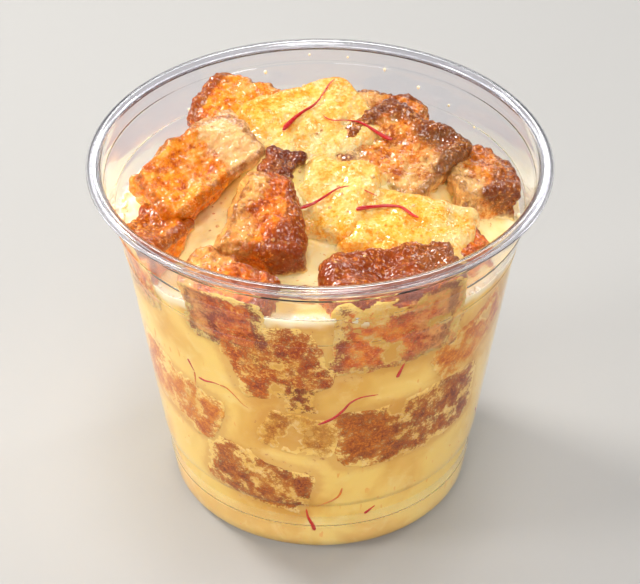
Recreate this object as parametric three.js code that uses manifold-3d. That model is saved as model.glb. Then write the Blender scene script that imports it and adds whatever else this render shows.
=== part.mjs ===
// Bread pudding set in custard, served in a clear tapered dessert cup.
// Millimetres, +Z up, the cup's foot on Z = 0, the cup's axis on X = Y = 0.
import * as THREE from 'three';
import { mergeVertices } from 'three/addons/utils/BufferGeometryUtils.js';
import Module from 'manifold-3d';

// ---- cup sizes -------------------------------------------------------------
const RIM_DIAMETER = 92;        // across the rolled rim
const CUP_HEIGHT = 77.2;        // foot to the top of the rim
const WALL = 0.5;               // sheet thickness
const RIM_WIDTH = 2.9;          // rim, from its outer edge to the mouth
const RIM_DEPTH = 2.0;          // rim, top to underside
const FOOT_OUTER = 27.4;        // ring the cup stands on
const FOOT_INNER = 24;
const PUSH_UP = 1.4;            // how far the middle of the base is raised
const CORNER = 3;               // radius of the rounded base corner
const BASE_RADIUS = 31.4;       // outer radius just above that corner
const LOW_RING = { z: 7.5, r: 32.0 };    // faint ring above the corner
const STEP_RING = { z: 14.5, r: 33.2 };  // stacking step
const STEP_UNDER = { z: 13.2, r: 32.3 };
const RING_C = { z: 59.9, r: 39.6 };     // three rings below the rim
const RING_B = { z: 67.1, r: 41.3 };
const RING_A = { z: 72.8, r: 42.9 };
const BEAD = 0.3;               // how far each ring stands out
const BEAD_HALF = 0.45;         // half its height
const AROUND = 32;              // facets round the cup and the custard
const GAP = 0.3;                // clearance between neighbouring pieces

// ---- custard level ---------------------------------------------------------
const LEVEL = 62.6;             // where the custard meets the wall
const MOUND = 5.2;              // how much higher the middle lies
const FRONT_RISE = 4.2;         // custard drawn up the wall at the front
const FRONT_SPREAD = 26;        // degrees either side of the front

const deg = (a) => (a * Math.PI) / 180;
const clamp = (v, a = 0, b = 1) => Math.min(b, Math.max(a, v));

// outer skin of the cup from the middle of the base up to the underside of the rim
function outerSkin() {
  const p = [[0, PUSH_UP], [FOOT_INNER - 3.5, PUSH_UP - 0.3], [FOOT_INNER, 0], [FOOT_OUTER, 0]];
  for (const a of [-60, -30, 0]) {
    p.push([BASE_RADIUS - CORNER + CORNER * Math.cos(deg(a)), CORNER + CORNER * Math.sin(deg(a))]);
  }
  const bead = (ring) => {
    p.push([ring.r - 0.05, ring.z - BEAD_HALF], [ring.r + BEAD, ring.z], [ring.r + 0.05, ring.z + BEAD_HALF]);
  };
  p.push([LOW_RING.r - 0.05, LOW_RING.z - BEAD_HALF], [LOW_RING.r + BEAD / 2, LOW_RING.z]);
  p.push([STEP_UNDER.r, STEP_UNDER.z], [STEP_RING.r, STEP_RING.z]);
  bead(RING_C);
  bead(RING_B);
  bead(RING_A);
  return p;
}

// the inner skin follows the outer one at the sheet thickness
const innerSkin = () => [
  [0, PUSH_UP + WALL], [FOOT_INNER - 3.5, PUSH_UP - 0.3 + WALL], [FOOT_INNER, WALL], [FOOT_OUTER, WALL],
  ...[-60, -30, 0].map((a) => [
    BASE_RADIUS - CORNER + (CORNER - WALL) * Math.cos(deg(a)), CORNER + (CORNER - WALL) * Math.sin(deg(a))]),
  [STEP_UNDER.r - WALL, STEP_UNDER.z], [STEP_RING.r - WALL, STEP_RING.z],
  [RING_C.r - WALL, RING_C.z], [RING_B.r - WALL, RING_B.z], [RING_A.r - WALL, RING_A.z],
];

function lathe(points) {
  const g = new THREE.LatheGeometry(points.map(([r, z]) => new THREE.Vector2(r, z)), AROUND);
  g.rotateX(Math.PI / 2);   // lathe axis Y becomes Z
  return g;
}

// ---- manifold helpers ------------------------------------------------------
const wasm = await Module();
wasm.setup();

function toManifold(geometry) {
  let g = geometry.clone();
  g.deleteAttribute('normal');
  g.deleteAttribute('uv');
  g = mergeVertices(g, 1e-4);
  const index = [];
  const src = g.index.array;
  for (let i = 0; i < src.length; i += 3) {
    const [a, b, c] = [src[i], src[i + 1], src[i + 2]];
    if (a !== b && b !== c && a !== c) index.push(a, b, c);
  }
  const mesh = new wasm.Mesh({
    numProp: 3,
    vertProperties: new Float32Array(g.attributes.position.array),
    triVerts: new Uint32Array(index),
  });
  mesh.merge();
  const m = new wasm.Manifold(mesh);
  return m.volume() < 0 ? m.mirror([1, 0, 0]).mirror([1, 0, 0]) : m;
}

function toGeometry(m) {
  const mesh = m.getMesh();
  const g = new THREE.BufferGeometry();
  g.setAttribute('position', new THREE.BufferAttribute(new Float32Array(mesh.vertProperties), mesh.numProp));
  g.setIndex(new THREE.BufferAttribute(new Uint32Array(mesh.triVerts), 1));
  g.computeVertexNormals();
  return g;
}

const TIDY = 0.1;   // edges shorter than the joins need are closed up to this
const largest = (m) => m.decompose().sort((a, b) => b.volume() - a.volume())[0].simplify(TIDY);

// ---- cup -------------------------------------------------------------------
const rimR = RIM_DIAMETER / 2;
const mouthR = rimR - RIM_WIDTH;
const cupProfile = [
  ...outerSkin(),
  [mouthR + 0.35, CUP_HEIGHT - RIM_DEPTH - 0.2],
  [rimR - 1.0, CUP_HEIGHT - RIM_DEPTH],
  [rimR - 0.2, CUP_HEIGHT - RIM_DEPTH + 0.5],
  [rimR, CUP_HEIGHT - RIM_DEPTH / 2],
  [rimR - 0.4, CUP_HEIGHT - 0.3],
  [rimR - 1.2, CUP_HEIGHT],
  [mouthR + 0.6, CUP_HEIGHT - 0.25],
  [mouthR, CUP_HEIGHT - 1.1],
  ...innerSkin().reverse(),
];
const cup = lathe(cupProfile);

// ---- the room inside the cup, kept clear of the wall by GAP ------------------
const room = innerSkin().map(([r, z]) => [Math.max(0, r === 0 ? 0 : r - GAP), z + (r < BASE_RADIUS - 1.2 ? GAP : 0)]);
room.push([mouthR - GAP, CUP_HEIGHT - 1.1]);
const roomSolid = toManifold(lathe([...room, [0, CUP_HEIGHT + 8]]));

// ---- custard blank: a mounded top on the room's sides and base ----------------
function levelAt(x, y) {
  const r = Math.hypot(x, y);
  const bearing = (Math.atan2(x, -y) * 180) / Math.PI;
  const rise = FRONT_RISE * Math.exp(-((bearing / FRONT_SPREAD) ** 2)) * clamp((r - 24) / 14);
  const waves = 0.5 * Math.sin(0.31 * x + 0.7) * Math.cos(0.27 * y - 0.4) * clamp((38 - r) / 8);
  return LEVEL + MOUND * clamp(1 - (r / 36) ** 2) + rise + waves;
}

function custardBlank() {
  const wallR = (z) => {
    for (let i = 1; i < room.length; i++) {
      const [r0, z0] = room[i - 1];
      const [r1, z1] = room[i];
      if (z >= z0 && z <= z1 && z1 > z0) return r0 + ((r1 - r0) * (z - z0)) / (z1 - z0);
    }
    return room[room.length - 1][0];
  };
  const rows = [];      // rows of AROUND points from the base up, then inwards over the top
  for (const [r, z] of room.filter(([r, z]) => r > 0 && z < LEVEL - 1)) rows.push(() => [r, z]);
  rows.push((x, y) => { const z = levelAt(x * 38, y * 38); return [wallR(z), z]; });
  for (const r of [35, 28, 20, 10]) rows.push((x, y) => [r, levelAt(x * r, y * r)]);
  const position = [];
  for (const row of rows) {
    for (let i = 0; i < AROUND; i++) {
      const a = (i / AROUND) * Math.PI * 2;
      const [cx, cy] = [Math.sin(a), -Math.cos(a)];
      const [r, z] = row(cx, cy);
      position.push(cx * r, cy * r, z);
    }
  }
  const low = position.length / 3;
  position.push(0, 0, room[0][1], 0, 0, levelAt(0, 0));
  const index = [];
  for (let k = 0; k + 1 < rows.length; k++) {
    for (let i = 0; i < AROUND; i++) {
      const j = (i + 1) % AROUND;
      const [a, b, c, d] = [k * AROUND + i, k * AROUND + j, (k + 1) * AROUND + j, (k + 1) * AROUND + i];
      index.push(a, b, c, a, c, d);
    }
  }
  const last = (rows.length - 1) * AROUND;
  for (let i = 0; i < AROUND; i++) {
    const j = (i + 1) % AROUND;
    index.push(low, j, i, low + 1, last + i, last + j);
  }
  const g = new THREE.BufferGeometry();
  g.setAttribute('position', new THREE.BufferAttribute(new Float32Array(position), 3));
  g.setIndex(index);
  return g;
}

// ---- one torn cube of bread --------------------------------------------------
// A rounded block on a cube grid, narrowed towards one end and dented unevenly.
const HEAP_GRID = [3, 3, 3];
const SIDE_GRID = [3, 1, 3];
const SQUARENESS = 5;
function breadBlock({ size, taper = 1, seed, grid, dent = 0.55 }, grow = 0) {
  const g = new THREE.BoxGeometry(2, 2, 2, ...grid);
  const p = g.attributes.position;
  for (let i = 0; i < p.count; i++) {
    const v = [p.getX(i), p.getY(i), p.getZ(i)].map((c) => Math.tan((c * Math.PI) / 4.6) / Math.tan(Math.PI / 4.6));
    const n = (Math.abs(v[0]) ** SQUARENESS + Math.abs(v[1]) ** SQUARENESS + Math.abs(v[2]) ** SQUARENESS) ** (1 / SQUARENESS);
    const u = v.map((c) => c / n);
    const s = seed * 2.399;
    const bump = dent * (Math.sin(2.3 * u[0] + s) * Math.cos(1.9 * u[1] - 2 * s) + 0.7 * Math.sin(2.9 * u[2] + 1.7 * s + u[0]));
    const narrow = 1 + (taper - 1) * (u[2] * 0.5 + 0.5);
    const len = Math.hypot(u[0], u[1], u[2]);
    const half = size.map((w) => w / 2 + grow);
    p.setXYZ(i,
      u[0] * half[0] * narrow + (bump * u[0]) / len,
      u[1] * half[1] * narrow + (bump * u[1]) / len,
      u[2] * half[2] + (bump * u[2]) / len);
  }
  return g;
}

// pieces of the heap: centre and turn (about Z, then Y, then X, degrees)
const HEAP = {
  left_slab: { size: [27, 13, 18], at: [-25.6, 5.4, 66.8], turn: [38, -16, 22] },
  ridge: { size: [25, 31, 21], at: [-9, -10.4, 65.8], turn: [-8, 3, 27], taper: 0.56 },
  crown: { size: [26, 23, 16], at: [-1.6, 15, 69.4], turn: [30, -5, 12] },
  right_slab: { size: [25, 20.5, 12], at: [17.4, 6.6, 69.3], turn: [-39, 7, 17] },
  soaked_right: { size: [26, 18, 15], at: [16.5, -14.4, 64.8], turn: [-14, 6, 12] },
  soaked_left: { size: [16, 20, 16], at: [3.2, -7, 66.4], turn: [-20, 0, 16] },
  back_left: { size: [20, 16, 16], at: [-15.8, 22.6, 67.4], turn: [-24, 8, 10] },
  far_right: { size: [15, 16, 17], at: [31.8, 3.4, 64], turn: [22, 8, 4] },
  front_right: { size: [27, 14, 21], at: [13.6, -31.4, 62.4], turn: [16, 0, 4] },
  front_dark: { size: [18, 13, 14], at: [-17.2, -33, 63.8], turn: [-26, 0, 8] },
  left_low: { size: [12, 18, 14], at: [-33.2, -14.5, 62.8], turn: [-26, 0, -8] },
  small_right: { size: [10, 9, 13], at: [26.6, -17.2, 63.6], turn: [42, 0, 8] },
  dark_nub: { size: [9, 7, 8], at: [-8, 2.6, 72.4], turn: [-18, 10, 10] },
  back_right: { size: [17, 12, 12], at: [13, 27.4, 65.4], turn: [-18, 6, 8] },
};

// pieces that lie against the wall: bearing (degrees from the front, positive
// to the right), height, then width x depth x height and tilt in the wall
const SIDE = {
  side_middle: { bearing: -13, z: 55, size: [21, 13, 18.5], tilt: 20 },
  side_crumb: { bearing: -6.5, z: 44.6, size: [6, 6, 6.4], tilt: 10 },
  side_right: { bearing: 52, z: 51, size: [21, 12, 13.5], tilt: 24 },
  side_band: { bearing: 31, z: 34.4, size: [33, 13, 17], tilt: 4 },
  side_pale: { bearing: -6, z: 35.6, size: [16, 10, 11], tilt: -12 },
  side_low: { bearing: -22, z: 20.4, size: [23, 13, 15], tilt: -16 },
  side_left: { bearing: -53, z: 36.2, size: [26, 13, 15], tilt: -14 },
  back_a: { bearing: 92, z: 30, size: [20, 12, 12.5], tilt: 12 },
  back_b: { bearing: 114, z: 52, size: [21, 13, 12], tilt: -12 },
  back_c: { bearing: 142, z: 24, size: [23, 13, 13], tilt: -8 },
  back_d: { bearing: 170, z: 47, size: [22, 13, 15], tilt: 14 },
  back_e: { bearing: 196, z: 24, size: [22, 13, 12], tilt: 10 },
  back_f: { bearing: 228, z: 50, size: [23, 12, 13], tilt: -12 },
  back_g: { bearing: 250, z: 27, size: [22, 12, 13], tilt: 8 },
};

function placeHeap(g, { at, turn }) {
  const [rz, ry, rx] = turn.map(deg);
  g.applyMatrix4(new THREE.Matrix4().makeRotationFromEuler(new THREE.Euler(rx, ry, rz, 'ZYX')));
  return g.translate(...at);
}

const LEAN = Math.atan((RING_C.r - STEP_RING.r) / (RING_C.z - STEP_RING.z));
function placeSide(g, { bearing, z, size, tilt }) {
  const wall = STEP_RING.r + (z - STEP_RING.z) * Math.tan(LEAN) - WALL;
  g.rotateY(deg(-tilt));
  g.rotateX(LEAN);
  g.translate(0, -(wall + 1.6 - size[1] / 2), z);
  return g.rotateZ(deg(bearing));
}

let seed = 3;
const pieces = [];
for (const [name, spec] of Object.entries(HEAP)) pieces.push({ name, spec, place: placeHeap, grid: HEAP_GRID, seed: seed++ });
for (const [name, spec] of Object.entries(SIDE)) pieces.push({ name, spec, place: placeSide, grid: SIDE_GRID, seed: seed++ });
for (const q of pieces) {
  q.body = toManifold(q.place(breadBlock({ ...q.spec, grid: q.grid, seed: q.seed }), q.spec));
  q.grown = toManifold(q.place(breadBlock({ ...q.spec, grid: q.grid, seed: q.seed }, GAP), q.spec));
}

const meets = (a, b) => {
  const [p, q] = [a.boundingBox(), b.boundingBox()];
  return [0, 1, 2].every((k) => p.min[k] < q.max[k] && q.min[k] < p.max[k]);
};
for (let i = 0; i < pieces.length; i++) {
  let body = pieces[i].body.intersect(roomSolid);
  for (let j = 0; j < i; j++) {
    if (meets(body, pieces[j].grown)) body = body.subtract(pieces[j].grown);
  }
  pieces[i].body = largest(body);
}
let custard = toManifold(custardBlank());
for (const q of pieces) custard = custard.subtract(q.grown);
custard = largest(custard);

// ---- colours -----------------------------------------------------------------
const look = (color, roughness, extra = {}) => new THREE.MeshStandardMaterial({ color, roughness, metalness: 0, ...extra });
const CARAMEL = 0xc8741f;
const DARK = 0x8a3f1a;
const SOAKED = 0xf2c878;
const CRUMB = 0xd9a768;
const BREAD_COLOURS = {
  left_slab: 0xe8932c, ridge: 0xb45a1c, crown: SOAKED, right_slab: 0xc98a4c, soaked_right: SOAKED, soaked_left: SOAKED,
  back_left: 0xdc8a32, far_right: 0xa9602c, front_right: 0xb0622a, front_dark: DARK, left_low: 0xc07038,
  small_right: CARAMEL, dark_nub: DARK, back_right: CRUMB, side_middle: 0xa4561c, side_crumb: DARK, side_right: 0xdc9c48,
  side_band: 0xb06a24, side_pale: CRUMB, side_low: 0xb26a28, side_left: 0xe0a050,
  back_a: CARAMEL, back_b: CRUMB, back_c: 0xb26a28, back_d: CARAMEL, back_e: 0xb06a24, back_f: 0xc98a4c, back_g: CARAMEL,
};

const group = new THREE.Group();
function add(name, geometry, material) {
  const mesh = new THREE.Mesh(geometry, material);
  mesh.name = name;
  group.add(mesh);
}
add('cup', cup, look(0xf2f4f6, 0.06, { transparent: true, opacity: 0.3 }));
add('custard', toGeometry(custard), look(0xf3d490, 0.35));
for (const q of pieces) add(`bread_${q.name}`, toGeometry(q.body), look(BREAD_COLOURS[q.name], 0.4));

export default group;
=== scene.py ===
import math
import bpy
import numpy as np
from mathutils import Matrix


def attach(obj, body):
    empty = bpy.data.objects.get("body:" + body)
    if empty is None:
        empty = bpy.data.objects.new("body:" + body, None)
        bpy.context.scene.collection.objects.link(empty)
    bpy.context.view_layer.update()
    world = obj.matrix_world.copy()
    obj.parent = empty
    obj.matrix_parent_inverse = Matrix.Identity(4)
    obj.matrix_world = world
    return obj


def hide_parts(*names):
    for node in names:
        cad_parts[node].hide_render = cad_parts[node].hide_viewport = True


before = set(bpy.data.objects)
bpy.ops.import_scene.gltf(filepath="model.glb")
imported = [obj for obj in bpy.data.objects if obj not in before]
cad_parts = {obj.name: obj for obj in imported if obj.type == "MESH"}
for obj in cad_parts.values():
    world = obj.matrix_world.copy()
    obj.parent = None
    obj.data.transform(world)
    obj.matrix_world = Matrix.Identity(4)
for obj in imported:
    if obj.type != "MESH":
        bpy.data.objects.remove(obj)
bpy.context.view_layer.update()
scene = bpy.context.scene
MM = 0.001

# ------------------------------------------------------------------ sizes (mm)
RIM_R, CUP_H, WALL = 46.0, 77.2, 0.5
STEP_RING, STEP_UNDER = (33.2, 14.5), (32.3, 13.2)
LOW_RING = (32.0, 7.5)
RING_C, RING_B, RING_A = (39.6, 59.9), (41.3, 67.1), (42.9, 72.8)
MOUTH_R = RIM_R - 2.9
LEVEL, MOUND, FRONT_RISE, FRONT_SPREAD = 62.6, 5.2, 4.2, 26.0
INNER = np.array([(0, 1.9), (20.5, 1.6), (24, 0.5), (27.4, 0.5), (29.65, 0.84), (30.57, 1.75), (30.9, 3.0),
                  (31.8, 13.2), (32.7, 14.5), (39.1, 59.9), (40.8, 67.1), (42.4, 72.8), (43.1, 76.1)])


def wall_in(z):
    """Radius of the cup's inner face at a height."""
    return np.interp(z, INNER[5:, 1], INNER[5:, 0])


def level_at(x, y):
    r = np.hypot(x, y)
    b = np.degrees(np.arctan2(x, -y))
    rise = FRONT_RISE * np.exp(-((b / FRONT_SPREAD) ** 2)) * np.clip((r - 24) / 14, 0, 1)
    waves = 0.5 * np.sin(0.31 * x + 0.7) * np.cos(0.27 * y - 0.4) * np.clip((38 - r) / 8, 0, 1)
    return LEVEL + MOUND * np.clip(1 - (r / 36) ** 2, 0, 1) + rise + waves


# ------------------------------------------------------------------ noise
GRADS = np.array([[1, 1, 0], [-1, 1, 0], [1, -1, 0], [-1, -1, 0], [1, 0, 1], [-1, 0, 1], [1, 0, -1], [-1, 0, -1],
                  [0, 1, 1], [0, -1, 1], [0, 1, -1], [0, -1, -1]], float)


def hash3(i, j, k, seed):
    h = (i * 374761393 + j * 668265263 + k * 1442695041 + seed * 1274126177) & 0xFFFFFFFF
    h = ((h ^ (h >> 13)) * 1274126177) & 0xFFFFFFFF
    h = ((h ^ (h >> 15)) * 2246822519) & 0xFFFFFFFF
    return h ^ (h >> 16)


def perlin(p, size, seed):
    q = p / size + 137.3
    i = np.floor(q).astype(np.int64)
    f = q - i
    u = f * f * f * (f * (f * 6 - 15) + 10)
    out = np.zeros(len(p))
    for a in (0, 1):
        for b in (0, 1):
            for c in (0, 1):
                g = GRADS[hash3(i[:, 0] + a, i[:, 1] + b, i[:, 2] + c, seed) % 12]
                d = f - (a, b, c)
                w = ((u[:, 0] if a else 1 - u[:, 0]) * (u[:, 1] if b else 1 - u[:, 1]) * (u[:, 2] if c else 1 - u[:, 2]))
                out += w * (g * d).sum(1)
    return out


def fbm(p, size, octaves, seed):
    out, amp = np.zeros(len(p)), 1.0
    for o in range(octaves):
        out += amp * perlin(p, size, seed + 17 * o)
        size, amp = size / 2.03, amp * 0.5
    return out


def worley(p, size, seed):
    """Distance to the nearest of one random point per cell, in cells."""
    q = p / size + 91.7
    i = np.floor(q).astype(np.int64)
    best = np.full(len(p), 9.0)
    for a in (-1, 0, 1):
        for b in (-1, 0, 1):
            for c in (-1, 0, 1):
                ci, cj, ck = i[:, 0] + a, i[:, 1] + b, i[:, 2] + c
                h = hash3(ci, cj, ck, seed)
                fx = (h & 1023) / 1023.0
                fy = ((h >> 10) & 1023) / 1023.0
                fz = ((h >> 20) & 1023) / 1023.0
                d = (ci + fx - q[:, 0]) ** 2 + (cj + fy - q[:, 1]) ** 2 + (ck + fz - q[:, 2]) ** 2
                best = np.minimum(best, d)
    return np.sqrt(best)


def smooth(a, b, x):
    t = np.clip((x - a) / (b - a), 0, 1)
    return t * t * (3 - 2 * t)


# ------------------------------------------------------------------ mesh helpers
def build(name, verts_mm, quads=None, tris=None, attrs=None, shade=True):
    """A mesh object from arrays in millimetres."""
    verts = np.asarray(verts_mm, float) * MM
    loops, starts, total = [], [], 0
    for f, n in ((quads, 4), (tris, 3)):
        if f is not None and len(f):
            f = np.asarray(f, np.int64)
            loops.append(f.ravel())
            starts.append(total + np.arange(len(f)) * n)
            total += len(f) * n
    loops, starts = np.concatenate(loops), np.concatenate(starts)
    me = bpy.data.meshes.new(name)
    me.vertices.add(len(verts))
    me.vertices.foreach_set("co", verts.astype(np.float32).ravel())
    me.loops.add(len(loops))
    me.loops.foreach_set("vertex_index", loops.astype(np.int32))
    me.polygons.add(len(starts))
    me.polygons.foreach_set("loop_start", starts.astype(np.int32))
    me.update(calc_edges=True)
    me.validate()
    if shade:
        me.polygons.foreach_set("use_smooth", np.ones(len(me.polygons), bool))
    for key, val in (attrs or {}).items():
        at = me.attributes.new(key, "FLOAT", "POINT")
        at.data.foreach_set("value", np.asarray(val, np.float32))
    ob = bpy.data.objects.new(name, me)
    scene.collection.objects.link(ob)
    return ob


_grids = {}


def cube_grid(n):
    """Points of a cube's surface, n = (nx, ny, nz) steps along each axis, shared along the edges, and its quads."""
    if n in _grids:
        return _grids[n]
    pts, quads, off = [], [], 0
    for axis in range(3):
        na, nb = n[(axis + 1) % 3], n[(axis + 2) % 3]
        for s in (-1, 1):
            a, b = np.meshgrid(np.linspace(-1, 1, na + 1), np.linspace(-1, 1, nb + 1), indexing="ij")
            p = np.zeros((na + 1, nb + 1, 3))
            p[..., axis] = s
            p[..., (axis + 1) % 3] = a
            p[..., (axis + 2) % 3] = b
            pts.append(p.reshape(-1, 3))
            k = np.arange((na + 1) * (nb + 1)).reshape(na + 1, nb + 1) + off
            q = np.stack([k[:-1, :-1], k[1:, :-1], k[1:, 1:], k[:-1, 1:]], -1).reshape(-1, 4)
            quads.append(q if s > 0 else q[:, ::-1])
            off += (na + 1) * (nb + 1)
    pts, quads = np.concatenate(pts), np.concatenate(quads)
    key = np.round((pts + 1) * 1e5).astype(np.int64)
    _, first, inv = np.unique(key, axis=0, return_index=True, return_inverse=True)
    _grids[n] = (pts[first], inv.reshape(-1)[quads])
    return _grids[n]


def normals(v, quads):
    a = v[quads[:, 2]] - v[quads[:, 0]]
    b = v[quads[:, 3]] - v[quads[:, 1]]
    fn = np.cross(a, b)
    out = np.zeros_like(v)
    for k in range(quads.shape[1]):
        np.add.at(out, quads[:, k], fn)
    return out / np.maximum(np.linalg.norm(out, axis=1)[:, None], 1e-12)


def rot(axis, degrees):
    c, s = math.cos(math.radians(degrees)), math.sin(math.radians(degrees))
    i, j = [(1, 2), (2, 0), (0, 1)][axis]
    m = np.eye(3)
    m[i, i] = m[j, j] = c
    m[i, j], m[j, i] = -s, s
    return m


# ------------------------------------------------------------------ bread pieces
# The same blocks as the frame's. crust lists the local faces that are crust; kind picks the colours.
HEAP = {
    "left_slab": dict(size=(26.5, 14, 19.5), at=(-24.2, 4.6, 66.9), turn=(38, -16, 22), n=72, dish=2.4, kind="amber", crust=(), pale=("+x", 0.8)),
    "ridge": dict(size=(31, 35.5, 23), at=(-10.4, -12.4, 65.6), turn=(-6, 3, 25), taper=0.5, wedge=0.62, n=72, dish=0.3, kind="dark", crust=((1, -0.5, 0.1), (0.3, -1, -0.6)), pale=("-x", 0.6)),
    "crown": dict(size=(26, 23, 16), at=(-1.6, 15, 69.4), turn=(30, -5, 12), n=68, dish=0.4, kind="soaked", crust=(), pale=("-y", 0.3)),
    "right_slab": dict(size=(22.4, 20, 12), at=(16.4, 7.5, 69.3), turn=(-39, 7, 17), n=68, dish=0.9, kind="toast", crust=((-1, -0.6, 0.1), (0.4, 1, 0.2)), pale=("+x", 0.45)),
    "soaked_right": dict(size=(26, 18, 15), at=(16.5, -14.4, 64.8), turn=(-14, 6, 12), n=60, dish=0.5, kind="soaked", crust=(), pale=("+x", 0.4)),
    "soaked_left": dict(size=(16, 20, 16), at=(3.2, -7, 66.4), turn=(-20, 0, 16), n=52, kind="soaked", crust=(), pale=("-y", 0.2)),
    "back_left": dict(size=(20, 16, 16), at=(-15.8, 22.6, 67.4), turn=(-24, 8, 10), n=50, dish=0.6, kind="amber", crust=("-x", "+x"), pale=("+y", 0.3)),
    "far_right": dict(size=(13.4, 15.5, 17), at=(30.8, 2.6, 64), turn=(22, 8, 4), n=52, dish=0.6, kind="toast", crust=((1, -0.7, 0.35),), pale=("-x", 0.6)),
    "front_right": dict(size=(27, 14, 21), at=(13.6, -31.4, 62.4), turn=(16, 0, 4), n=60, dish=0.7, kind="dark", crust=("+z",), pale=("+x", 0.5)),
    "front_dark": dict(size=(18, 13, 14), at=(-17.2, -33, 63.8), turn=(-26, 0, 8), n=50, kind="dark", crust=("+x", "-z"), pale=("-x", 0.5)),
    "left_low": dict(size=(12, 18, 14), at=(-33.2, -14.5, 62.8), turn=(-26, 0, -8), n=44, kind="amber", crust=("+z",), pale=("-z", 0.5)),
    "small_right": dict(size=(10, 9, 13), at=(26.6, -17.2, 63.6), turn=(42, 0, 8), n=36, kind="dark", crust=("-x",), pale=("+z", 0.1)),
    "dark_nub": dict(size=(11.5, 11, 13), at=(-8.2, 0.6, 70.4), turn=(-18, 8, 20), taper=0.62, n=36, kind="burnt", crust=((0.6, 0, 1),), pale=("-x", 0.2)),
    "back_right": dict(size=(17, 12, 12), at=(13, 27.4, 65.4), turn=(-18, 6, 8), n=44, kind="toast", crust=("+y",), pale=("-x", 0.5)),
}
SIDE = {
    "side_middle": dict(bearing=-13, z=55, size=(21, 13, 20), tilt=20, kind="dark", seep=0.35, pale=("-x", 0.5)),
    "side_crumb": dict(bearing=-6.5, z=44.6, size=(6, 6, 6.4), tilt=10, kind="burnt", seep=0.1, pale=("-x", 0.1)),
    "side_right": dict(bearing=52, z=51, size=(21, 12, 13.5), tilt=24, kind="ochre", seep=0.35, pale=("-x", 0.3)),
    "side_band": dict(bearing=31, z=34.4, size=(33, 13, 17), tilt=4, kind="toast", seep=0.05, pale=("-x", 0.6)),
    "side_pale": dict(bearing=-6, z=35.6, size=(16, 10, 11), tilt=-12, kind="crumb", seep=0.55, pale=("+x", 0.7)),
    "side_low": dict(bearing=-22, z=20.4, size=(23, 13, 15), tilt=-16, kind="toast", seep=0.15, pale=("-x", 0.4)),
    "side_left": dict(bearing=-53, z=36.2, size=(26, 13, 15), tilt=-14, kind="ochre", seep=0.1, pale=("-x", 0.4)),
    "back_a": dict(bearing=92, z=30, size=(20, 12, 12.5), tilt=12, kind="toast", seep=0.15, pale=("-x", 0.4)),
    "back_b": dict(bearing=114, z=52, size=(21, 13, 12), tilt=-12, kind="crumb", seep=0.3, pale=("-x", 0.5)),
    "back_c": dict(bearing=142, z=24, size=(23, 13, 13), tilt=-8, kind="dark", seep=0.2, pale=("-x", 0.5)),
    "back_d": dict(bearing=170, z=47, size=(22, 13, 15), tilt=14, kind="toast", seep=0.2, pale=("+x", 0.5)),
    "back_e": dict(bearing=196, z=24, size=(22, 13, 12), tilt=10, kind="ochre", seep=0.2, pale=("-x", 0.4)),
    "back_f": dict(bearing=228, z=50, size=(23, 12, 13), tilt=-12, kind="toast", seep=0.2, pale=("+x", 0.4)),
    "back_g": dict(bearing=250, z=27, size=(22, 12, 13), tilt=8, kind="dark", seep=0.25, pale=("+x", 0.4)),
}
LEAN = math.degrees(math.atan((RING_C[0] - STEP_RING[0]) / (RING_C[1] - STEP_RING[1])))
AXES = {"x": 0, "y": 1, "z": 2}

pieces = []
for seed, (name, s) in enumerate([*HEAP.items(), *SIDE.items()], start=3):
    s = dict(s, name=name, seed=seed, size=np.array(s["size"], float), heap=name in HEAP)
    if s["heap"]:
        rz, ry, rx = s["turn"]
        s["R"] = rot(2, rz) @ rot(1, ry) @ rot(0, rx)
        s["c"] = np.array(s["at"], float)
    else:
        wall = STEP_RING[0] + (s["z"] - STEP_RING[1]) * math.tan(math.radians(LEAN)) - WALL
        s["R"] = rot(2, s["bearing"]) @ rot(0, LEAN) @ rot(1, -s["tilt"])
        s["c"] = rot(2, s["bearing"]) @ np.array([0, -(wall + 1.6 - s["size"][1] / 2), s["z"]])
    pieces.append(s)


def block_inside(s, p):
    """How deep points lie inside a piece's plain block, in mm; negative outside."""
    q = (p - s["c"]) @ s["R"]
    half = s["size"] / 2 * 0.97
    narrow = 1 + (s.get("taper", 1) - 1) * np.clip(q[:, 2] / s["size"][2] + 0.5, 0, 1)
    d = np.abs(q) - half * np.stack([narrow, narrow, np.ones(len(q))], 1) + 2.6
    return -(np.linalg.norm(np.maximum(d, 0), axis=1) + np.minimum(d.max(1), 0) - 2.6)


def shape_block(s, n):
    grid, quads = cube_grid(n)
    v = np.tan(grid * math.pi / 4.6) / math.tan(math.pi / 4.6)
    sharp = 7.0 if s["heap"] else 5.0
    u = v / (np.abs(v) ** sharp).sum(1)[:, None] ** (1 / sharp)
    k = s["seed"] * 2.399
    bump = 0.55 * (np.sin(2.3 * u[:, 0] + k) * np.cos(1.9 * u[:, 1] - 2 * k) + 0.7 * np.sin(2.9 * u[:, 2] + 1.7 * k + u[:, 0]))
    narrow = 1 + (s.get("taper", 1) - 1) * (u[:, 2] * 0.5 + 0.5)
    ln = np.linalg.norm(u, axis=1)
    p = u * s["size"] / 2
    p[:, 0] *= narrow * (1 - s.get("wedge", 0) * (u[:, 1] * 0.5 + 0.35))
    p[:, 1] *= narrow
    p += (bump / ln)[:, None] * u
    return p, u, quads


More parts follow.
